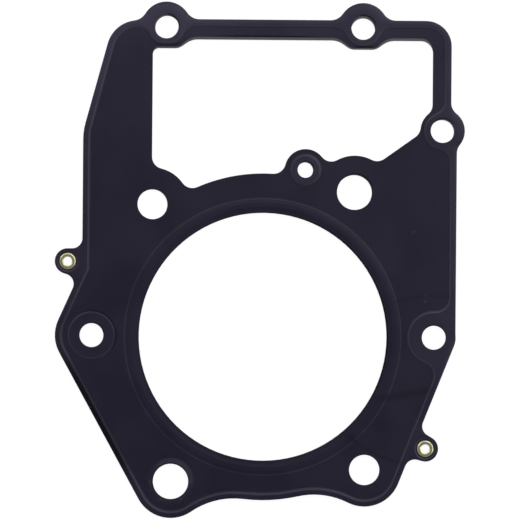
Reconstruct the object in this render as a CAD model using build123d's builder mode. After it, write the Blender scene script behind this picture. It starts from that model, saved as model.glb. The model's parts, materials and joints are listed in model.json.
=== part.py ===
from build123d import *
from math import acos, degrees, hypot, sqrt
import os

# A three-layer steel head gasket for one cylinder with its timing chain tunnel.
# Millimetres. Origin: centre of the cylinder bore, on the plane the gasket rests on.
# +Y runs from the bore to the chain tunnel, +Z to the cylinder head.

# Stack
sheet = 0.25  # each embossed outer layer
core = 0.30  # flat middle layer
emboss = 0.30  # height of rim, beads and pads over the field

# Cylinder bore
bore_d = 101.6
land_inset = 3.3  # edge of the bore land inside the circle of the dowels
bead_start = 0.6  # bore edge to the foot of the bead
bead_width = 5.9
bead_slope = 2.2  # width of each side of the bead

# Studs and dowels round the bore
stud_left = (-45.5, 54.1)
stud_right = (42.1, -54.3)
stud_d = 12.4
dowel_x = 37.3  # the dowels face each other across the bore
dowel_y = 59.6
dowel_d = 14.5
post_land_r = 15.0
foot_blend_r = 31.0  # hollow between the bore land and the lower posts

# Bolts along the outside
flank_x = 70.2
flank_y = 0.15
flank_left_land_r = 15.0
flank_right_land_r = 9.0
tunnel_x = 40.35
tunnel_y = 127.0
tunnel_lobe_r = 10.2
corner_y = 85.0
corner_in = 5.9  # bolt to the right side
corner_lobe_r = 9.1
bolt_d = 9.8

# Oil feed hole, beside the right dowel
oil_left = 20.2
oil_up = 9.0
oil_d = 6.5
oil_land_r = 8.55

# Outer edge
top_edge = 3.05  # above the tunnel bolts
flank_edge = 8.9  # right side outside the flank bolt
bar_step = 2.45  # right side set back beside the tunnel
top_corner_r = 10.5
shoulder_out = 11.55  # from the left tunnel bolt
shoulder_down = 10.55
shoulder_r = 13.0
waist = (-49.2, 80.6)
waist_r = 25.0
hip_in = 2.0  # from the left flank bolt
hip_up = 26.45
hip_r = 6.0
lobe_blend_r = 6.0
corner_blend_r = 5.5

# Chain tunnel
top_bar = 8.3
side_bar = 7.65
wall_out = 5.55  # left wall outside the tunnel bolt
tab_drop = 8.95  # tab's edge below the tunnel bolts
tab_half = 5.1  # flat half width of the tab under a tunnel bolt
tab_foot = 10.4  # half width where the tab meets the upper edge
tab_tip_r = 5.0
tab_foot_r = 8.0
tunnel_left_r = 2.5
tunnel_right_r = 5.0
ramp_rise = 2.4  # ramp's upper end above the corner bolt
ramp_low_right = 2.7  # ramp's lower end from the right dowel
ramp_low_up = 7.1
tunnel_blend_r = 5.0

# Ears that carry the eyelets
left_ear_out = 12.0  # from the hip
left_ear_up = 3.85
left_root_up = 2.0
right_ear_share = 0.684  # its place on the way from the flank bolt to the stud
right_ear_out = 5.0  # outside the edge
right_neck = 14.2
right_lean = 1.0  # of the neck towards the stud
ear_r = 5.25
ear_root_r = 7.1
ear_blend_r = 4.2

# Stamping
rim_width = 3.3  # outer edge to the foot of the half bead
half_bead = 1.6  # width of its slope
slope_stop = 0.02  # upright step left at the foot of a slope
tunnel_bolt_pad_r = 8.1
corner_pad_r = 8.2
flank_right_pad_r = 11.4
pad_blend_r = 5.0
flank_left_pad = (10.0, 1.0)  # foot radius and slope width
dowel_left_pad = (9.65, 2.2)
oil_pad = (6.8, 1.4)
dish_gap = 0.4  # eyelet flange to the wall of its dish
dish_slope = 0.8

# Eyelets
tube_r = 2.1
tube_wall = 0.3
tube_gap = 0.05  # tube to the holes that it passes through
flange_r = 3.3
flange = 0.28
roll = 0.42  # height of the rolled flange
roll_lip = 0.14  # upright part of its edge
roll_slope = 0.4

same_place = 0.01  # points nearer than this are one

dowel_left = (-dowel_x, -dowel_y)
dowel_right = (dowel_x, dowel_y)
bore_land_r = hypot(dowel_x, dowel_y) - land_inset
flank_left = (-flank_x, flank_y)
flank_right = (flank_x, flank_y)
tunnel_left = (-tunnel_x, tunnel_y)
tunnel_right = (tunnel_x, tunnel_y)
oil_hole = (dowel_x - oil_left, dowel_y + oil_up)

top_y = tunnel_y + top_edge
side_x = flank_x + flank_edge
bar_x = side_x - bar_step
corner_bolt = (side_x - corner_in, corner_y)
shoulder = (-tunnel_x - shoulder_out, tunnel_y - shoulder_down)
hip = (-flank_x + hip_in, flank_y + hip_up)

tunnel_wall_x = -tunnel_x - wall_out
tunnel_top_y = top_y - top_bar
tunnel_tab_y = tunnel_y - tab_drop
tunnel_bar_x = bar_x - side_bar
ramp_top_y = corner_y + ramp_rise
ramp_low = (dowel_x + ramp_low_right, dowel_y + ramp_low_up)

left_ear = (hip[0] - left_ear_out, hip[1] + left_ear_up)
left_root = (hip[0], hip[1] + left_root_up)
right_side = Vector(*stud_right) - Vector(*flank_right)
right_out = right_side.normalized().rotate(Axis.Z, 90)
right_edge_r = flank_right_land_r + right_ear_share * (post_land_r - flank_right_land_r)
right_foot = Vector(*flank_right) + right_side * right_ear_share
right_ear_at = right_foot + right_out * (right_edge_r + right_ear_out)
right_root_at = right_ear_at - right_out * right_neck + right_side.normalized() * right_lean
right_ear = (right_ear_at.X, right_ear_at.Y)
right_root = (right_root_at.X, right_root_at.Y)

field_low = emboss  # underside of the bottom layer's field
middle_low = field_low + sheet
middle_top = middle_low + core
field_top = middle_top + sheet  # upper side of the top layer's field
stack_mid = (middle_low + middle_top) / 2


def strap(centre_a, radius_a, centre_b, radius_b):
    """Two discs joined by their outer tangents."""
    a = Vector(*centre_a)
    b = Vector(*centre_b)
    along = (b - a).normalized()
    lean = degrees(acos((radius_a - radius_b) / (b - a).length))
    left = along.rotate(Axis.Z, lean)
    right = along.rotate(Axis.Z, -lean)
    with BuildSketch() as face:
        with Locations(a):
            Circle(radius_a)
        with Locations(b):
            Circle(radius_b)
        with BuildLine():
            Polyline(
                a + left * radius_a,
                b + left * radius_b,
                b + right * radius_b,
                a + right * radius_a,
                close=True,
            )
        make_face()
    return face.sketch


def web(centre_a, radius_a, centre_b, radius_b, blend_r):
    """Fills the valley between two discs, on the left of the way from a to b."""
    a = Vector(*centre_a)
    b = Vector(*centre_b)
    span = (b - a).length
    reach = radius_a + blend_r
    along = (span**2 + reach**2 - (radius_b + blend_r) ** 2) / (2 * span)
    way = (b - a).normalized()
    ball = a + way * along + way.rotate(Axis.Z, 90) * sqrt(reach**2 - along**2)
    with BuildSketch() as face:
        with BuildLine():
            Polyline(a, b, ball, close=True)
        make_face()
        with Locations(ball):
            Circle(blend_r, mode=Mode.SUBTRACT)
    return face.sketch


def plate_face(inset):
    """The plate without lobes and ears, its edge drawn inwards by inset."""
    post_r = post_land_r - inset
    land_r = bore_land_r - inset
    top_corner = (bar_x - inset, top_y - inset)
    with BuildSketch() as plate:
        with BuildLine():
            Polyline(
                (tunnel_left[0], top_y - inset),
                top_corner,
                (bar_x - inset, corner_bolt[1]),
                (side_x - inset, corner_bolt[1]),
                (side_x - inset, flank_right[1]),
                flank_right,
                stud_right,
                (0, 0),
                dowel_left,
                flank_left,
                hip,
                waist,
                shoulder,
                close=True,
            )
        make_face()
        fillet(plate.vertices().sort_by_distance(top_corner)[0], top_corner_r - inset)
        add(strap(waist, waist_r - inset, shoulder, shoulder_r - inset))
        add(strap(waist, waist_r - inset, hip, hip_r - inset))
        add(strap(flank_left, flank_left_land_r - inset, hip, hip_r - inset))
        add(strap(flank_left, flank_left_land_r - inset, dowel_left, post_r))
        add(strap(flank_right, flank_right_land_r - inset, stud_right, post_r))
        Circle(land_r)
        add(web((0, 0), land_r, dowel_left, post_r, foot_blend_r + inset))
        add(web(stud_right, post_r, (0, 0), land_r, foot_blend_r + inset))
    return plate.sketch


def outline_face(inset):
    """The whole outer edge, drawn inwards by inset."""
    with BuildSketch() as outline:
        add(plate_face(inset))
        with Locations(tunnel_left, tunnel_right):
            Circle(tunnel_lobe_r - inset)
        fillet(outline.vertices(Select.LAST), lobe_blend_r + inset)
        with Locations(corner_bolt):
            Circle(corner_lobe_r - inset)
        fillet(outline.vertices(Select.LAST), corner_blend_r + inset)
        add(strap(left_ear, ear_r - inset, left_root, ear_root_r - inset))
        fillet(outline.vertices(Select.LAST), ear_blend_r + inset)
        add(strap(right_ear, ear_r - inset, right_root, ear_root_r - inset))
        fillet(outline.vertices(Select.LAST), ear_blend_r + inset)
    return outline.sketch


# Lands that border the tunnel
with BuildSketch() as lands:
    Circle(bore_land_r)
    with Locations(stud_left, dowel_right):
        Circle(post_land_r)
    with Locations(oil_hole):
        Circle(oil_land_r)
    with Locations(corner_bolt):
        Circle(corner_lobe_r)
    add(web(oil_hole, oil_land_r, dowel_right, post_land_r, tunnel_blend_r))
    add(web((0, 0), bore_land_r, oil_hole, oil_land_r, tunnel_blend_r))
    add(web(stud_left, post_land_r, (0, 0), bore_land_r, tunnel_blend_r))


def off_lands(corner):
    """Whether a corner is none of the lands' own points."""
    nearest = lands.sketch.vertices().sort_by_distance(corner)[0]
    return nearest.distance_to(corner) > same_place


tunnel_corner_left = (tunnel_wall_x, tunnel_tab_y)
tunnel_corner_right = (tunnel_bar_x, tunnel_top_y)
with BuildSketch() as tunnel:
    with BuildLine():
        Polyline(
            (tunnel_wall_x, stud_left[1]),
            tunnel_corner_left,
            (tunnel_left[0] + tab_half, tunnel_tab_y),
            (tunnel_left[0] + tab_foot, tunnel_top_y),
            (tunnel_right[0] - tab_foot, tunnel_top_y),
            (tunnel_right[0] - tab_half, tunnel_tab_y),
            (tunnel_right[0] + tab_half, tunnel_tab_y),
            (tunnel_right[0] + tab_foot, tunnel_top_y),
            tunnel_corner_right,
            (tunnel_bar_x, ramp_top_y),
            ramp_low,
            dowel_right,
            close=True,
        )
    make_face()
    fillet(tunnel.vertices().sort_by_distance(tunnel_corner_left)[0], tunnel_left_r)
    fillet(tunnel.vertices().sort_by_distance(tunnel_corner_right)[0], tunnel_right_r)
    fillet(tunnel.vertices().group_by(Axis.Y)[-1].sort_by(Axis.X)[:3], tab_foot_r)
    for tab_x in (tunnel_left[0] + tab_half, tunnel_right[0] - tab_half, tunnel_right[0] + tab_half):
        fillet(tunnel.vertices().sort_by_distance((tab_x, tunnel_tab_y))[0], tab_tip_r)
    add(lands.sketch, mode=Mode.SUBTRACT)
    fillet(tunnel.vertices(Select.LAST).filter_by(off_lands), tunnel_blend_r)

# The blank: outline with every opening cut
with BuildSketch() as blank:
    add(outline_face(0))
    add(tunnel.sketch, mode=Mode.SUBTRACT)
    Circle(bore_d / 2, mode=Mode.SUBTRACT)
    with Locations(stud_left, stud_right):
        Circle(stud_d / 2, mode=Mode.SUBTRACT)
    with Locations(dowel_left, dowel_right):
        Circle(dowel_d / 2, mode=Mode.SUBTRACT)
    with Locations(flank_left, flank_right, tunnel_left, tunnel_right, corner_bolt):
        Circle(bolt_d / 2, mode=Mode.SUBTRACT)
    with Locations(oil_hole):
        Circle(oil_d / 2, mode=Mode.SUBTRACT)
    with Locations(left_ear, right_ear):
        Circle(tube_r + tube_gap, mode=Mode.SUBTRACT)

# Foot of the half bead that follows the outer edge and goes round the outer bolts
with BuildSketch() as field:
    add(plate_face(rim_width))
    with Locations(tunnel_left, tunnel_right):
        Circle(tunnel_bolt_pad_r, mode=Mode.SUBTRACT)
    fillet(field.vertices(Select.LAST), pad_blend_r)
    with Locations(corner_bolt):
        Circle(corner_pad_r, mode=Mode.SUBTRACT)
    fillet(field.vertices(Select.LAST), pad_blend_r)
    with Locations(flank_right):
        Circle(flank_right_pad_r, mode=Mode.SUBTRACT)
    fillet(field.vertices(Select.LAST), pad_blend_r)


def ring_pad(centre, foot_r, slope):
    """Round pad that rises from the field to rim level."""
    with Locations((centre[0], centre[1], field_top + emboss / 2)):
        Cone(foot_r, foot_r - slope, emboss)


# Die block: its upper side carries the stamping of the top layer
die_depth = 4 * sheet
die_margin = 1.0
with BuildPart() as die:
    with BuildSketch(Plane.XY.offset(field_top - die_depth)):
        add(outline_face(-die_margin))
    extrude(amount=die_depth + emboss)
    with BuildSketch(Plane.XY.offset(field_top)):
        add(field.sketch)
    extrude(amount=emboss, mode=Mode.SUBTRACT)
    rim = die.faces().sort_by(Axis.Z)[-1]
    slope_edges = rim.inner_wires()[0].edges()
    chamfer(slope_edges, length=half_bead, length2=emboss - slope_stop, reference=rim)
    ring_pad(flank_left, *flank_left_pad)
    ring_pad(dowel_left, *dowel_left_pad)
    ring_pad(oil_hole, *oil_pad)
    with BuildSketch(Plane.XZ):
        with BuildLine():
            bead_in = bore_d / 2 + bead_start
            bead_out = bead_in + bead_width
            Polyline(
                (bead_in, field_top),
                (bead_in + bead_slope, field_top + emboss),
                (bead_out - bead_slope, field_top + emboss),
                (bead_out, field_top),
                close=True,
            )
        make_face()
    revolve(axis=Axis.Z)
    dish_r = flange_r + dish_gap
    with Locations((*left_ear, field_top + emboss / 2), (*right_ear, field_top + emboss / 2)):
        Cone(dish_r, dish_r + dish_slope, emboss, mode=Mode.SUBTRACT)

with BuildPart() as top_layer:
    with BuildSketch(Plane.XY.offset(middle_top - sheet)):
        add(blank.sketch)
    extrude(amount=emboss + 3 * sheet)
    add(die.part, mode=Mode.INTERSECT)
    add(die.part.moved(Location((0, 0, -sheet))), mode=Mode.SUBTRACT)

with BuildPart() as bottom_layer:
    add(mirror(top_layer.part, about=Plane.XY.offset(stack_mid), mode=Mode.PRIVATE))

with BuildPart() as middle_layer:
    with BuildSketch(Plane.XY.offset(middle_low)):
        add(blank.sketch)
    extrude(amount=core)


def eyelet_at(centre):
    """Tube with a flat lower flange and a rolled upper one."""
    hole_r = tube_r - tube_wall
    low = field_low - flange
    with BuildPart() as eyelet:
        with BuildSketch(Plane.XZ):
            with BuildLine():
                Polyline(
                    (hole_r, low),
                    (flange_r, low),
                    (flange_r, field_low),
                    (tube_r, field_low),
                    (tube_r, field_top),
                    (flange_r, field_top),
                    (flange_r, field_top + roll_lip),
                    (flange_r - roll_slope, field_top + roll),
                    (hole_r + roll_slope, field_top + roll),
                    (hole_r, field_top + roll_lip),
                    close=True,
                )
            make_face()
        revolve(axis=Axis.Z)
    return eyelet.part.moved(Location((*centre, 0)))


left_eyelet = eyelet_at(left_ear)
right_eyelet = eyelet_at(right_ear)

top_layer.part.label = "top_layer"
middle_layer.part.label = "middle_layer"
bottom_layer.part.label = "bottom_layer"
left_eyelet.label = "left_eyelet"
right_eyelet.label = "right_eyelet"

os.makedirs("parts", exist_ok=True)
export_step(top_layer.part, "parts/top_layer.step")
export_step(middle_layer.part, "parts/middle_layer.step")
export_step(bottom_layer.part, "parts/bottom_layer.step")
export_step(left_eyelet, "parts/left_eyelet.step")
export_step(right_eyelet, "parts/right_eyelet.step")
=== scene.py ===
import json
from math import cos, pi, radians, sin

import bmesh
import bpy
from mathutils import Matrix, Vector, kdtree

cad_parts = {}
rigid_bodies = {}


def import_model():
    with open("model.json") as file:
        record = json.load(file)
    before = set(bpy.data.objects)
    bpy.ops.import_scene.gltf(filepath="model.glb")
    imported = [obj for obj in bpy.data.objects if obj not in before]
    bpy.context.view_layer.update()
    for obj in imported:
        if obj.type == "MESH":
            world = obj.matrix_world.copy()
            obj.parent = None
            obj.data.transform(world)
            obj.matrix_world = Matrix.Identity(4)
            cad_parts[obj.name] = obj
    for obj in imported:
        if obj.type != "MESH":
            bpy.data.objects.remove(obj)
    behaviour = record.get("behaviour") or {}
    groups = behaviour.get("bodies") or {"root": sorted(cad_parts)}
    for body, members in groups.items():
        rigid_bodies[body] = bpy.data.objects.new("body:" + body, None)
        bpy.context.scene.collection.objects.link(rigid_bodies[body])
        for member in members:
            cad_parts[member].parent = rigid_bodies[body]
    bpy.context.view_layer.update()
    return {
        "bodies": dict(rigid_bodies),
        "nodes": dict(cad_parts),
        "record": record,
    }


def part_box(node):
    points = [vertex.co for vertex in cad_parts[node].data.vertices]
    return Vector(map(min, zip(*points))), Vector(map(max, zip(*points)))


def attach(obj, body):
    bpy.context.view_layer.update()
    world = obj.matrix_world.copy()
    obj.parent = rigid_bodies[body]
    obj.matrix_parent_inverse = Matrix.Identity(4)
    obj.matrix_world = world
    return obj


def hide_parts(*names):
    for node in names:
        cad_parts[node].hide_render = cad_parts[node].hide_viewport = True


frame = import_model()
nodes = frame["nodes"]
mounts = {mount["name"]: mount for mount in frame["record"]["mounts"]}
tunnel_box = frame["record"]["physics"]["openings"][0]["box_m"]

MM = 0.001
ROOT = next(iter(frame["bodies"]))

# Sheet stack: each stamped layer is SHEET thick and rises by EMBOSS from field to rim
SHEET = 0.25 * MM
TOP_LOW, TOP_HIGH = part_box("top_layer")
BOTTOM_LOW, BOTTOM_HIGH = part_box("bottom_layer")
EMBOSS = TOP_HIGH.z - TOP_LOW.z - SHEET

# Field and rim of each stamped sheet, for its upper side and then its under side
TOP_LEVELS = ((TOP_HIGH.z - EMBOSS, TOP_HIGH.z), (TOP_LOW.z, TOP_LOW.z + EMBOSS))
BOTTOM_LEVELS = ((BOTTOM_HIGH.z, BOTTOM_HIGH.z - EMBOSS), (BOTTOM_LOW.z + EMBOSS, BOTTOM_LOW.z))

# Stamping
FOOT_STEP = 0.02 * MM  # upright step at the foot of each slope, rounded away here
SLOPE_CUTS = 7
SLOPE_START = 0.1  # share of the slope's width that is still flat at each end
BEAD_START = 0.6 * MM  # from the bore's edge to the foot of the fire bead
BEAD_WIDTH = 5.9 * MM
BEAD_ENDS = (0.01, 0.99)  # shares of the bead's width at its two feet, which stay in place
BEAD_SHARE = 0.35  # of the embossing that the fire bead keeps once its sheet is clinched flat
DIE_ROLL = 0.20 * MM  # rounding of the edges that the punch drew in
ROLL_CUTS = 2
RIM_BEND = 3.2 * MM  # width over which the rim curls away to the sheared edge
CREST_SHARE = 0.88  # of the way to the crest, where the rim is narrower
HOLE_KEEP = 1.25 * MM  # flat width left round a hole
RIM_CURL = 23.0  # curvature of the curl, one over metres
BEND_CUTS = 4
PROBE_STEP = 0.25 * MM
BEND_ROOM = 0.97  # share of the curl's width by which its inner line stays off the outline
BEND_SHRINK = 0.9  # step by which a curl that is too wide for its corner gets narrower

# Upright part of a normal: at most this on a sheared wall, at least these on a side and a flat
WALL_LEAN = 0.2
SIDE_LEAN = 0.9
FLAT = 0.999999

# Places, levels and angles that count as the same, and the angle that still shades soft
SAME_PLACE = 0.001 * MM
LEVEL = 0.004 * MM
SAME_PLANE = radians(0.6)
SOFT_ANGLE = radians(30)

# Stacking: the sheets are held at the eyelets alone, so far from them the holes don't line up.
# Each mount's holes from left to right, with the slip of the sheets under the top one.
SLIPS = {
    "tunnel_bolt_holes": (Vector((0.33, -0.66, 0)) * MM, Vector((-0.15, -1.15, 0)) * MM),
    "corner_bolt_hole": (Vector((-0.35, -0.50, 0)) * MM,),
    "oil_hole": (Vector((-0.25, -0.25, 0)) * MM,),
    "stud_hole_left": (Vector((-0.20, -0.25, 0)) * MM,),
    "dowel_hole_right": (Vector((-0.25, -0.30, 0)) * MM,),
}
CORE_SLIP = 0.9  # share of the slip that the core takes
BOTTOM_SLIP = 0.6

# How far the top sheet's edge draws back on the upper side of the chain tunnel: in each row it
# starts at the first y and is the third value from the second y on, and the rows add up
TUNNEL_LIFT = ((104 * MM, 112 * MM, 0.70 * MM), (118.2 * MM, 120.0 * MM, 0.45 * MM))

# Distance from the middle of the stack over which the coating turns to the raised faces' painted
# sheen, and the last part of it, where the rim's crest takes a painted highlight line
MID_PLANE = (BOTTOM_LOW.z + TOP_HIGH.z) / 2
RAISED_FROM = TOP_HIGH.z - EMBOSS - MID_PLANE + 0.05 * MM
RAISED_TO = TOP_HIGH.z - MID_PLANE - 0.05 * MM
CREST_FROM = RAISED_TO - 0.16 * MM
CREST_TO = RAISED_TO - 0.04 * MM

# Painted sheen of the raised faces, lighter towards the softbox: it grows along a way across the
# sheet, from one distance and share to the other
SHEEN_WAY = (0.4, 0.917)
SHEEN_SPAN = (-30 * MM, 90 * MM)
SHEEN_SHARE = (0.11, 0.55)

# Fields beyond the chain tunnel take painted sheen by a share of their own, reached over these y
FIELD_SHEEN_SPAN = (115 * MM, 125 * MM)
FIELD_SHEEN_SHARE = 0.193

# Places with a painted highlight, lighter than the faces round them (darker where the share is
# negative), as point, reach and share, and the part of it that the fields take
LOBE_SHEEN_SPOTS = (((-46.0, 124.0, 1.4), 52.0, 0.40), ((73.2, 85.0, 1.4), 26.0, -0.24))
FIELD_LOBE_SHARE = 0.27

# Upright part of the normal over which a face counts as crest, as steep and as sheared
CREST_LEAN = (0.992, 0.985)
STEEP_LEAN = (0.992, 0.975)
SHEARED_LEAN = (0.35, 0.15)

# Marks on the coating, all in mm. Dark rubs are arcs, as centre, radius, half width, middle,
# reach and strength. Smudges are a point, reach and strength, and pale specks a point and reach.
RUBS = (
    ((68.7, -20.6, 1.1), 37.96, 0.65, (64.5, 17.1, 1.1), 16.0, 0.55),
    ((162.8, -596.1, 1.1), 582.35, 2.3, (58.2, -23.2, 1.1), 15.0, 0.60),
    ((65.5, -7.8, 1.1), 44.19, 0.9, (46.5, -47.6, 1.1), 17.0, 0.50),
)
SMUDGES = (((48.8, -35.9, 1.1), 4.6, 0.40), ((36.0, -41.0, 1.1), 3.0, 0.25))
SPECKS = (
    ((61.9, 43.6, 1.1), 0.60),
    ((61.0, 42.9, 1.1), 0.35),
    ((66.8, 17.4, 1.1), 0.45),
    ((66.6, 14.9, 1.1), 0.55),
    ((63.1, -42.5, 1.1), 0.50),
    ((-49.0, 119.0, 1.1), 0.35),
)
FULL_POINT = 0.5  # share of its reach over which a mark round a point is full
FULL_ARC = 0.3  # share of its half width over which an arc is full

# Painted shade along edges, as arcs in mm: the lower left side, the bore, the two tabs, the bar
# between them and the ring of the left flank bolt
SHADED_EDGES = (
    ((1687.2, 926.0, 1.1), 2000.0, 2.9, (-67.9, -34.3, 1.1), 34.0, 0.62),
    ((0.0, 0.0, 1.1), 51.1, 0.6, (47.0, 19.0, 1.1), 60.0, 0.55),
    ((-39.4, -880.3, 1.3), 1000.0, 0.6, (-39.4, 119.7, 1.3), 6.0, 0.40),
    ((41.4, -880.8, 1.3), 1000.0, 0.6, (41.4, 119.2, 1.3), 6.0, 0.55),
    ((0.0, -876.7, 1.3), 1000.0, 0.45, (1.2, 123.3, 1.3), 26.0, 0.6),
    ((-70.2, 0.15, 1.2), 9.8, 0.9, (-62.0, 5.5, 1.2), 14.0, 0.5),
)

# Painted shade at the far edge of each hole too: the hole's place and radius in mm, the angle of
# the edge's middle and its strength. The painted shade lies outside the hole by its own offset.
SHADED_HOLES = (
    ((-40.35, 127.0), 4.9, 42, 0.65),
    ((40.35, 127.0), 4.9, 62, 0.70),
    ((73.2, 85.0), 4.9, 80, 0.50),
    ((37.3, 59.6), 7.25, 60, 0.65),
    ((17.1, 68.6), 3.25, 60, 0.50),
    ((-70.2, 0.15), 4.9, 45, 0.45),
    ((70.2, 0.15), 4.9, 85, 0.55),
    ((-37.3, -59.6), 7.25, 85, 0.55),
)
HOLE_EDGE_HEIGHT = 1.4
HOLE_EDGE_OFFSET = 0.25
HOLE_EDGE_HALF = 0.5

# Painted highlight line on the outer foot of the fire bead and on the crest of the rim, in mm, with
# its least weight and what the painted sheen and cloud add, and the ring pads where it is fainter
BEAD_LINE_CENTRE = (0, 0, 1.1)
BEAD_LINE_RADIUS = 56.7
BEAD_LINE_HALF = 0.45
HIGHLIGHT_LEAST = 0.4
HIGHLIGHT_SHEEN = 0.54
HIGHLIGHT_CLOUD = 0.3
FAINT_RINGS = (((17.1, 68.6, 1.1), 14.0), ((-70.2, 0.15, 1.1), 22.0))
FAINT_SHARE = 0.7

# Colours of the coating: field and painted sheen from dull to pale, then painted highlight, marks,
# painted shade
FIELD_COLOURS = (0.0108, 0.0080, 0.0255, 1.0), (0.0142, 0.0107, 0.0300, 1.0)
SHEEN_COLOURS = (0.0366, 0.0295, 0.0628, 1.0), (0.0429, 0.0349, 0.0700, 1.0)
HIGHLIGHT_COLOUR = (0.0360, 0.0320, 0.0570, 1.0)
RUB_COLOUR = (0.0030, 0.0020, 0.0110, 1.0)
SPECK_COLOUR = (0.040, 0.037, 0.055, 1.0)
SHADE_COLOUR = (0.0080, 0.0065, 0.0110, 1.0)
SHEARED_COLOUR = (0.20, 0.195, 0.20, 1.0)

# Finish of the coating: cloud and grain by the size of their noise, and what roughens it
CLOUD_SCALE = 45.0
CLOUD_RANGE = (0.35, 0.65)
GRAIN_SCALE = 2600.0
GRAIN_HEIGHT = 0.004 * MM
SATIN = 0.27
CLOUD_ROUGHNESS = 0.03
GRAIN_ROUGHNESS = 0.04
STEEP_ROUGHNESS = 0.25
COATING_IOR = 1.5

# The core's bare steel and the eyelets' brass
STREAK_SCALE = 900.0
STEEL_COLOURS = (0.16, 0.155, 0.17, 1.0), (0.25, 0.245, 0.26, 1.0)
STEEL_ROUGHNESS = 0.38
STAIN_SCALE = 700.0
STAIN_RANGE = (0.4, 0.7)
BRASS_COLOURS = (0.62, 0.58, 0.36, 1.0), (0.50, 0.46, 0.26, 1.0)
BRASS_ROUGHNESS = 0.30
STAIN_ROUGHNESS = 0.12

# Floor: half its width, its colour, and the light that it shows to the camera alone
FLOOR_HALF = 3.0
FLOOR_COLOUR = (0.85, 0.85, 0.85, 1.0)
FLOOR_ROUGHNESS = 0.9
FLOOR_GLOW = 1.15
FLOOR_SHARE = 0.8

# Sockets of the colour Mix node
MIX_FACTOR, MIX_A, MIX_B, MIX_RESULT = 0, 6, 7, 2

# Camera and light
PICTURE_CENTRE = Vector((-1.30, 31.49, 0)) * MM
PICTURE_WIDTH = 213.2 * MM
CAMERA_HEIGHT = 1.6
SENSOR = 36.0
CAMERA_ROLL = radians(0.45)

# Light tent: its strengths, the z of a direction at the top and foot of its walls, and the big
# softbox that stands beyond the chain tunnel and starts near the zenith
CEILING_LIGHT = 0.05
WALL_LIGHT = 1.6
WALL_TOP = 0.62
WALL_FOOT = 0.36
BACK_LIGHT = 1.05
BACK_WAY = (0.40, 0.917)
BACK_START = (0.03, 0.22)
BACK_END = (0.22, 0.31)
BACK_FADE = 0.9
FRONT_LIGHT = 0.45
FRONT_START = (0.05, -0.15)
FRONT_TOP = (0.965, 0.88)
FRONT_FOOT = (0.30, 0.45)
FRONT_WALL = 0.15
SIDE_WALLS = (-0.3, 0.2)
KEY_PLACE = (0.45, 0.60, 0.70)
KEY_SIZE = 0.6
KEY_POWER = 2.4


class Value:
    """A shader socket that takes part in Python arithmetic."""

    def __init__(self, material, socket):
        self.material = material
        self.socket = socket

    def math(self, operation, *inputs):
        settings = {"operation": operation}
        return self.material.node("ShaderNodeMath", settings, dict(enumerate(inputs)))

    def __add__(self, other):
        return self.math("ADD", self, other)

    def __radd__(self, other):
        return self.math("ADD", other, self)

    def __sub__(self, other):
        return self.math("SUBTRACT", self, other)

    def __rsub__(self, other):
        return self.math("SUBTRACT", other, self)

    def __mul__(self, other):
        return self.math("MULTIPLY", self, other)

    def __rmul__(self, other):
        return self.math("MULTIPLY", other, self)


class Material:
    """The nodes of a material, or of the world, under construction."""

    def __init__(self, owner):
        self.owner = owner
        owner.use_nodes = True
        self.tree = owner.node_tree
        self.tree.nodes.clear()

    def node(self, kind, settings=None, inputs=None, output=0):
        """Adds a node: its settings first, then the values or links of its sockets."""
        item = self.tree.nodes.new(kind)
        for key, value in (settings or {}).items():
            setattr(item, key, value)
        for key, value in (inputs or {}).items():
            if isinstance(value, Value):
                self.tree.links.new(value.socket, item.inputs[key])
            else:
                item.inputs[key].default_value = value
        if output is None:
            return None
        if isinstance(output, tuple):
            return [Value(self, item.outputs[name]) for name in output]
        return Value(self, item.outputs[output])


def noise(m, scale, detail):
    """Cloudy noise from 0 to 1 whose features are about 1 / scale metres across."""
    place = m.node("ShaderNodeTexCoord", output="Object")
    return m.node("ShaderNodeTexNoise", None, {"Vector": place, "Scale": scale, "Detail": detail})


def remap(m, value, low, high, to_low=0.0, to_high=1.0):
    """Smooth step of value between low and high."""
    return m.node(
        "ShaderNodeMapRange",
        {"interpolation_type": "SMOOTHSTEP"},
        {"Value": value, "From Min": low, "From Max": high, "To Min": to_low, "To Max": to_high},
    )


def mix(m, factor, low, high):
    """Colour between low and high."""
    inputs = {MIX_FACTOR: factor, MIX_A: low, MIX_B: high}
    return m.node("ShaderNodeMix", {"data_type": "RGBA"}, inputs, output=MIX_RESULT)


def finish(m, surface):
    """Joins a shader to the material's output."""
    m.node("ShaderNodeOutputMaterial", None, {"Surface": surface}, output=None)
    return m.owner


def magnitude(value):
    """A value without its sign."""
    return value.math("ABSOLUTE", value)


def distance(m, place, point):
    """Distance from a point given in mm."""
    inputs = {0: place, 1: Vector(point) * MM}
    return m.node("ShaderNodeVectorMath", {"operation": "DISTANCE"}, inputs, output=1)


def near_point(m, place, point, reach):
    """1 at a point given in mm, falling to 0 at reach."""
    return remap(m, distance(m, place, point), reach * MM, FULL_POINT * reach * MM)


def on_arc(m, place, centre, radius, half_width):
    """1 on a circle given in mm, falling to 0 at half_width from it."""
    off = magnitude(distance(m, place, centre) - radius * MM)
    return remap(m, off, half_width * MM, FULL_ARC * half_width * MM)


def arcs(m, place, rows):
    """Sum of the arcs in a table of centre, radius, half width, middle, reach and strength."""
    total = 0.0
    for centre, radius, half_width, middle_point, reach, strength in rows:
        arc = strength * on_arc(m, place, centre, radius, half_width)
        total = arc * near_point(m, place, middle_point, reach) + total
    return total


def spots(m, place, rows):
    """Sum of the round marks in a table of point, reach and strength."""
    total = 0.0
    for point, reach, strength in rows:
        total = strength * near_point(m, place, point, reach) + total
    return total


def far_edge(hole):
    """The arc of painted shade at the far edge of a hole."""
    (x, y), radius, angle, strength = hole
    turn = radians(angle)
    far = (x + radius * cos(turn), y + radius * sin(turn), HOLE_EDGE_HEIGHT)
    centre = (x, y, HOLE_EDGE_HEIGHT)
    return centre, radius + HOLE_EDGE_OFFSET, HOLE_EDGE_HALF, far, radius, strength


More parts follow.
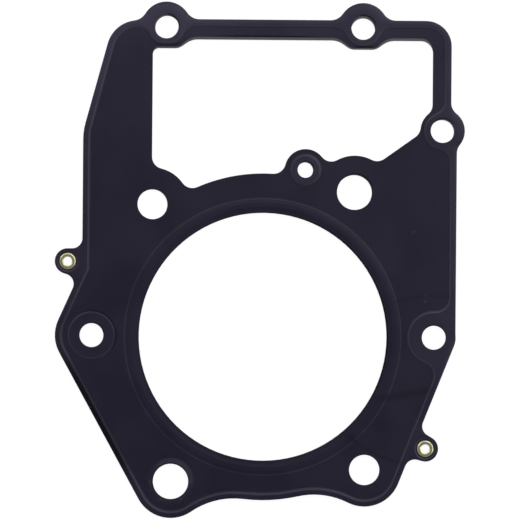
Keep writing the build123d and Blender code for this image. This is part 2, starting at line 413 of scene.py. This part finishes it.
def coated_steel():
    """Satin dark violet-grey coating with painted sheen on the raised faces, painted highlights and
    painted shade, bare at sheared edges.
    """
    m = Material(bpy.data.materials.new("coated_steel"))
    place = m.node("ShaderNodeTexCoord", output="Object")
    cloud = remap(m, noise(m, CLOUD_SCALE, 4.0), *CLOUD_RANGE)
    grain = noise(m, GRAIN_SCALE, 2.0)
    x, y, z = m.node("ShaderNodeSeparateXYZ", None, {"Vector": place}, output=("X", "Y", "Z"))
    normal = m.node("ShaderNodeNewGeometry", output="True Normal")
    level = magnitude(m.node("ShaderNodeSeparateXYZ", None, {"Vector": normal}, output="Z"))
    height = magnitude(z - MID_PLANE)

    # Painted highlight round the lobes, lighter round each point, darker where its share is
    # negative
    lobe_sheen = spots(m, place, LOBE_SHEEN_SPOTS)
    # Painted sheen, lighter towards the softbox, on the raised faces and on the fields beyond the
    # tunnel
    way = SHEEN_WAY[0] * x + SHEEN_WAY[1] * y
    raised_sheen = remap(m, way, *SHEEN_SPAN, *SHEEN_SHARE) + lobe_sheen
    field_sheen = FIELD_SHEEN_SHARE * remap(m, y, *FIELD_SHEEN_SPAN) + FIELD_LOBE_SHARE * lobe_sheen
    raised = remap(m, height, RAISED_FROM, RAISED_TO)
    field = mix(m, cloud, *FIELD_COLOURS)
    sheen_colour = mix(m, cloud, *SHEEN_COLOURS)
    coating = mix(m, raised * raised_sheen + (1 - raised) * field_sheen, field, sheen_colour)

    # Painted highlight line on the rim's crest and the fire bead's outer foot
    crest = remap(m, height, CREST_FROM, CREST_TO) * remap(m, level, *CREST_LEAN)
    for point, reach in FAINT_RINGS:
        crest = crest * (1 - FAINT_SHARE * near_point(m, place, point, reach))
    crest_highlight = on_arc(m, place, BEAD_LINE_CENTRE, BEAD_LINE_RADIUS, BEAD_LINE_HALF) + crest
    highlight_weight = HIGHLIGHT_LEAST + HIGHLIGHT_SHEEN * raised_sheen + HIGHLIGHT_CLOUD * cloud
    highlighted = mix(m, crest_highlight * highlight_weight, coating, HIGHLIGHT_COLOUR)

    rubs_and_smudges = arcs(m, place, RUBS) + spots(m, place, SMUDGES)
    marked = mix(m, rubs_and_smudges, highlighted, RUB_COLOUR)
    specks = spots(m, place, [(point, reach, 1.0) for point, reach in SPECKS])
    dusty = mix(m, specks, marked, SPECK_COLOUR)
    # Painted shade along edges and at the holes' far edges, made metallic as well
    dark = arcs(m, place, [*SHADED_EDGES, *map(far_edge, SHADED_HOLES)])
    shaded = mix(m, dark, dusty, SHADE_COLOUR)
    sheared = remap(m, level, *SHEARED_LEAN)
    colour = mix(m, sheared, shaded, SHEARED_COLOUR)

    steep = remap(m, level, *STEEP_LEAN)
    roughness = SATIN + CLOUD_ROUGHNESS * cloud + GRAIN_ROUGHNESS * grain
    inputs = {
        "Base Color": colour,
        "Roughness": roughness + STEEP_ROUGHNESS * steep,
        "Metallic": dark.math("MAXIMUM", dark, sheared),
        "Normal": m.node("ShaderNodeBump", None, {"Height": grain, "Distance": GRAIN_HEIGHT}),
        "IOR": COATING_IOR,
    }
    return finish(m, m.node("ShaderNodeBsdfPrincipled", None, inputs))


def bare_steel():
    """Rolled steel core, seen only at its sheared edge."""
    m = Material(bpy.data.materials.new("bare_steel"))
    colour = mix(m, noise(m, STREAK_SCALE, 2.0), *STEEL_COLOURS)
    inputs = {"Base Color": colour, "Roughness": STEEL_ROUGHNESS, "Metallic": 1.0}
    return finish(m, m.node("ShaderNodeBsdfPrincipled", None, inputs))


def eyelet_brass():
    """Dull pressed brass."""
    m = Material(bpy.data.materials.new("eyelet_brass"))
    stain = remap(m, noise(m, STAIN_SCALE, 3.0), *STAIN_RANGE)
    colour = mix(m, stain, *BRASS_COLOURS)
    roughness = BRASS_ROUGHNESS + STAIN_ROUGHNESS * stain
    inputs = {"Base Color": colour, "Roughness": roughness, "Metallic": 1.0}
    return finish(m, m.node("ShaderNodeBsdfPrincipled", None, inputs))


def table_white():
    """Pale floor that reads white to the camera and still takes the shadow."""
    m = Material(bpy.data.materials.new("table_white"))
    inputs = {"Base Color": FLOOR_COLOUR, "Roughness": FLOOR_ROUGHNESS}
    paper = m.node("ShaderNodeBsdfPrincipled", None, inputs)
    glow = m.node("ShaderNodeEmission", None, {"Color": (1, 1, 1, 1), "Strength": FLOOR_GLOW})
    seen = m.node("ShaderNodeLightPath", output="Is Camera Ray")
    both = m.node("ShaderNodeMixShader", None, {0: FLOOR_SHARE * seen, 1: paper, 2: glow})
    return finish(m, both)


def near(value, level):
    """Whether a height is at a level of the sheet."""
    return abs(value - level) < LEVEL


def is_cut(face):
    """Sheared faces stand upright."""
    return abs(face.normal.z) < WALL_LEAN


def on_side(face, facing):
    """Whether a face belongs to the upper (1) or under (-1) side of its sheet."""
    return face.normal.z * facing > SIDE_LEAN


def merged_copy(node):
    """Loose triangles of a CAD node welded into one clean shell."""
    bm = bmesh.new()
    bm.from_mesh(nodes[node].data)
    bmesh.ops.remove_doubles(bm, verts=bm.verts, dist=SAME_PLACE)
    bm.verts.layers.float.new("bend")
    return bm


def flat_faces(bm):
    """Joins the triangles of each flat face and of each slope facet."""
    bmesh.ops.dissolve_limit(bm, angle_limit=SAME_PLANE, verts=bm.verts, edges=bm.edges)


def smooth_step(value, low, high):
    """0 up to low and 1 from high, with a soft step between."""
    share = min(1.0, max(0.0, (value - low) / (high - low)))
    return share * share * (3 - 2 * share)


def round_slopes(bm, field, rim):
    """Turns the straight slopes between two levels into soft S-shaped ones."""
    across = [
        e
        for e in bm.edges
        if near(min(v.co.z for v in e.verts), field)
        and near(max(v.co.z for v in e.verts), rim)
        and (e.verts[0].co.xy - e.verts[1].co.xy).length > FOOT_STEP
    ]
    cut = bmesh.ops.subdivide_edges(bm, edges=across, cuts=SLOPE_CUTS, use_grid_fill=True)
    for item in cut["geom_inner"]:
        if isinstance(item, bmesh.types.BMVert):
            share = (item.co.z - field) / (rim - field)
            item.co.z = field + (rim - field) * smooth_step(share, SLOPE_START, 1 - SLOPE_START)


def round_bead(bm, levels, rise):
    """Gives the fire bead round the bore one soft arch."""
    bore = mounts["cylinder_bore"]
    centre = Vector(bore["pos_m"]).xy
    foot = bore["dims"]["r_mm"] * MM + BEAD_START
    bm.normal_update()
    for v in bm.verts:
        share = ((v.co.xy - centre).length - foot) / BEAD_WIDTH
        if BEAD_ENDS[0] < share < BEAD_ENDS[1]:
            field = levels[0][0] if v.normal.z > 0 else levels[1][0]
            v.co.z = field + rise * BEAD_SHARE * EMBOSS * (0.5 - 0.5 * cos(2 * pi * share))


def roll_edges(bm, facing):
    """Rounds the edges between one side of the sheet and its sheared walls."""
    bm.normal_update()
    edges = [
        e
        for e in bm.edges
        if sum(is_cut(f) for f in e.link_faces) == 1
        and sum(on_side(f, facing) for f in e.link_faces) == 1
    ]
    bmesh.ops.bevel(
        bm,
        geom=edges,
        offset=DIE_ROLL,
        offset_type="OFFSET",
        segments=ROLL_CUTS,
        profile=0.5,
        affect="EDGES",
        material=-1,
        clamp_overlap=True,
    )


def grown(faces, left):
    """The faces that join up with some first ones, taken out of those that are left."""
    faces = list(faces)
    for face in faces:
        for edge in face.edges:
            for other in edge.link_faces:
                if other in left:
                    left.discard(other)
                    faces.append(other)
    return faces


def cut_loops(bm):
    """The vertices of each sheared edge: the outline, the openings and the holes."""
    bm.normal_update()
    left = {f for f in bm.faces if is_cut(f)}
    loops = []
    while left:
        wall = grown([left.pop()], left)
        loops.append({v for face in wall for v in face.verts})
    return loops


def spread(loop):
    """Width of a loop from left to right."""
    return max(v.co.x for v in loop) - min(v.co.x for v in loop)


def middle(loop):
    """Middle of a loop's box, seen from above."""
    xs = [v.co.x for v in loop]
    ys = [v.co.y for v in loop]
    return Vector(((min(xs) + max(xs)) / 2, (min(ys) + max(ys)) / 2))


def along(edge):
    """Points on an edge, PROBE_STEP apart."""
    start, end = (v.co for v in edge.verts)
    count = max(1, round((end - start).length / PROBE_STEP))
    return [start.lerp(end, i / count) for i in range(count + 1)]


def nearest(edges):
    """Search tree over the points of a set of edges."""
    points = [point for edge in edges for point in along(edge)]
    tree = kdtree.KDTree(len(points))
    for i, point in enumerate(points):
        tree.insert(point, i)
    tree.balance()
    return tree


def within(starts, verts):
    """The edges at some vertices that have both their ends in a set."""
    return list({e for v in starts for e in v.link_edges if all(w in verts for w in e.verts)})


def rim_faces(bm, rim, facing, outline):
    """The flat faces of one side's rim that join up with the outline."""
    flats = {f for f in bm.faces if on_side(f, facing) and all(near(v.co.z, rim) for v in f.verts)}
    first = {f for v in outline for f in v.link_faces if f in flats}
    return set(grown(first, flats - first))


def curl_widths(outline, ring, borders):
    """Way out of the sheet and width of the curl at each place of the outline."""
    holes = {e for e in borders if any(is_cut(f) for f in e.link_faces)}
    to_crest, to_hole, to_outline = nearest(borders - holes), nearest(holes), nearest(ring)

    def free_width(place, way):
        short_of_crest = CREST_SHARE * to_crest.find(place)[2]
        short_of_hole = to_hole.find(place)[2] - HOLE_KEEP
        wide = min(RIM_BEND, short_of_crest, short_of_hole)
        while to_outline.find(place - way * wide)[2] < BEND_ROOM * wide:
            wide *= BEND_SHRINK
        return wide

    widths = {}
    for v in outline:
        way = sum((f.normal for f in v.link_faces if is_cut(f)), Vector()).normalized()
        sides = within([v], outline)
        wide = min(free_width(point, way) for e in sides for point in along(e))
        widths[tuple(v.co)] = (way, wide)
    return widths


def bend_rim(bm, rim, facing, drop_way):
    """Curls one side of the rim away from its flat towards the outline's sheared edge."""
    outline = {v for v in max(cut_loops(bm), key=spread) if near(v.co.z, rim)}
    ring = within(outline, outline)
    island = rim_faces(bm, rim, facing, outline)
    borders = {e for f in island for e in f.edges if any(g not in island for g in e.link_faces)}
    borders -= set(ring)
    widths = curl_widths(outline, ring, borders)
    bmesh.ops.delete(bm, geom=list(island), context="FACES_ONLY")
    bmesh.ops.delete(bm, geom=[e for e in bm.edges if not e.link_faces], context="EDGES")
    bend = bm.verts.layers.float["bend"]
    fresh = bmesh.ops.extrude_edge_only(bm, edges=ring)["geom"]
    inner = {g for g in fresh if isinstance(g, bmesh.types.BMVert)}
    for v in inner:
        way, wide = widths[tuple(v.co)]
        v[bend] = wide
        v.co -= way * wide
    for v in outline:
        v[bend] = widths[tuple(v.co)][1]
        v.co.z += drop_way * SHEET
    rest = within(inner, inner) + list(borders)
    bmesh.ops.triangle_fill(bm, edges=rest, use_beauty=True, normal=(0, 0, facing))
    across = [e for v in outline for e in v.link_edges if e.other_vert(v) in inner]
    bmesh.ops.subdivide_edges(bm, edges=across, cuts=BEND_CUTS, use_grid_fill=True)
    for v in bm.verts:
        if v[bend] > 0:
            share = abs(v.co.z - rim) / SHEET
            v.co.z = rim + drop_way * RIM_CURL * (share * v[bend]) ** 2
            v[bend] = 0.0


def slip_holes(bm, share):
    """Shifts punched holes by their share of the slip between the sheets."""
    loops = cut_loops(bm)
    for name, slips in SLIPS.items():
        mount = mounts[name]
        reach = mount["dims"].get("spacing_x_mm", 0) / 2 * MM
        for side, slip in zip((-1, 1), slips):
            place = Vector(mount["pos_m"]).xy + Vector((side * reach, 0))
            loop = min(loops, key=lambda item: (middle(item) - place).length)
            for v in loop:
                v.co += slip * share


def lift_tunnel_edge(bm):
    """Draws the upper edge of the chain tunnel back, so that the sheets below show there."""
    (x0, y0, _), (x1, y1, _) = tunnel_box
    centre = Vector(((x0 + x1) / 2, (y0 + y1) / 2))
    tunnel = min(cut_loops(bm), key=lambda item: (middle(item) - centre).length)
    for v in tunnel:
        v.co.y += sum(lift * smooth_step(v.co.y, low, high) for low, high, lift in TUNNEL_LIFT)


def as_piece(bm, name, material):
    """Finishes a shell as an object with soft slopes and crisp sheared edges."""
    bm.verts.layers.float.remove(bm.verts.layers.float["bend"])
    bmesh.ops.recalc_face_normals(bm, faces=bm.faces)
    bm.normal_update()
    for face in bm.faces:
        face.smooth = abs(face.normal.z) < FLAT
    for edge in bm.edges:
        edge.smooth = edge.is_manifold and edge.calc_face_angle(0.0) < SOFT_ANGLE
    mesh = bpy.data.meshes.new(name)
    bm.to_mesh(mesh)
    bm.free()
    mesh.materials.append(material)
    piece = bpy.data.objects.new(name, mesh)
    bpy.context.scene.collection.objects.link(piece)
    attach(piece, ROOT)
    return piece


def stamped_sheet(node, name, levels, rise, material):
    """One stamped layer with soft slopes, whose rim stands up (rise 1) or down (rise -1)."""
    bm = merged_copy(node)
    for field, rim in levels:
        step = FOOT_STEP if rim > field else -FOOT_STEP
        for v in bm.verts:
            if near(v.co.z, field + step):
                v.co.z = field
    bmesh.ops.remove_doubles(bm, verts=bm.verts, dist=SAME_PLACE)
    flat_faces(bm)
    for field, rim in levels:
        round_slopes(bm, min(field, rim), max(field, rim))
    round_bead(bm, levels, rise)
    if rise > 0:
        lift_tunnel_edge(bm)
    else:
        slip_holes(bm, BOTTOM_SLIP)
    for (_, rim), facing in zip(levels, (1, -1)):
        bend_rim(bm, rim, facing, -rise)
    roll_edges(bm, rise)
    piece = as_piece(bm, name, material)
    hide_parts(node)


def core_sheet(material):
    """The flat core between the stamped sheets."""
    bm = merged_copy("middle_layer")
    flat_faces(bm)
    slip_holes(bm, CORE_SLIP)
    piece = as_piece(bm, "core_sheet", material)
    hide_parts("middle_layer")


def floor(material):
    """Plain sheet under the gasket."""
    bm = bmesh.new()
    bmesh.ops.create_grid(bm, x_segments=1, y_segments=1, size=FLOOR_HALF)
    mesh = bpy.data.meshes.new("table")
    bm.to_mesh(mesh)
    bm.free()
    mesh.materials.append(material)
    table = bpy.data.objects.new("table", mesh)
    bpy.context.scene.collection.objects.link(table)


def softbox(name, place, size, power):
    """Square lamp that faces the gasket."""
    lamp = bpy.data.lights.new(name, "AREA")
    lamp.size = size
    lamp.energy = power
    box = bpy.data.objects.new(name, lamp)
    bpy.context.scene.collection.objects.link(box)
    box.location = place
    box.rotation_euler = (PICTURE_CENTRE - Vector(place)).to_track_quat("-Z", "Y").to_euler()


def camera():
    """Looks straight down on the sheet."""
    lens = bpy.data.cameras.new("camera")
    lens.sensor_width = SENSOR
    lens.lens = SENSOR * CAMERA_HEIGHT / PICTURE_WIDTH
    view = bpy.data.objects.new("camera", lens)
    bpy.context.scene.collection.objects.link(view)
    view.location = PICTURE_CENTRE + Vector((0, 0, CAMERA_HEIGHT + TOP_HIGH.z))
    view.rotation_euler = (0, 0, CAMERA_ROLL)
    bpy.context.scene.camera = view


def light_tent():
    """Light tent: dim overhead, with pale walls and a big softbox beyond the chain tunnel."""
    world = bpy.data.worlds.new("room")
    m = Material(world)
    way = m.node("ShaderNodeTexCoord", output="Generated")
    x, y, z = m.node("ShaderNodeSeparateXYZ", None, {"Vector": way}, output=("X", "Y", "Z"))
    side = BACK_WAY[0] * x + BACK_WAY[1] * y
    back = BACK_LIGHT * remap(m, side, *BACK_START) * (1 - BACK_FADE * remap(m, side, *BACK_END))
    walls = WALL_LIGHT * remap(m, z, WALL_TOP, WALL_FOOT)
    walls = walls * remap(m, side, *SIDE_WALLS, FRONT_WALL, 1.0)
    front = FRONT_LIGHT * remap(m, side, *FRONT_START)
    front = front * remap(m, z, *FRONT_TOP) * remap(m, z, *FRONT_FOOT)
    inputs = {"Color": (1.0, 1.0, 1.0, 1.0), "Strength": CEILING_LIGHT + walls + back + front}
    shade = m.node("ShaderNodeBackground", None, inputs)
    m.node("ShaderNodeOutputWorld", None, {"Surface": shade}, output=None)
    bpy.context.scene.world = world


coating = coated_steel()
stamped_sheet("top_layer", "top_sheet", TOP_LEVELS, 1, coating)
core_sheet(bare_steel())
stamped_sheet("bottom_layer", "bottom_sheet", BOTTOM_LEVELS, -1, coating)
brass = eyelet_brass()
for eyelet in ("left_eyelet", "right_eyelet"):
    nodes[eyelet].material_slots[0].material = brass

floor(table_white())
light_tent()
softbox("key", KEY_PLACE, KEY_SIZE, KEY_POWER)
camera()
bpy.context.scene.view_settings.view_transform = "Standard"
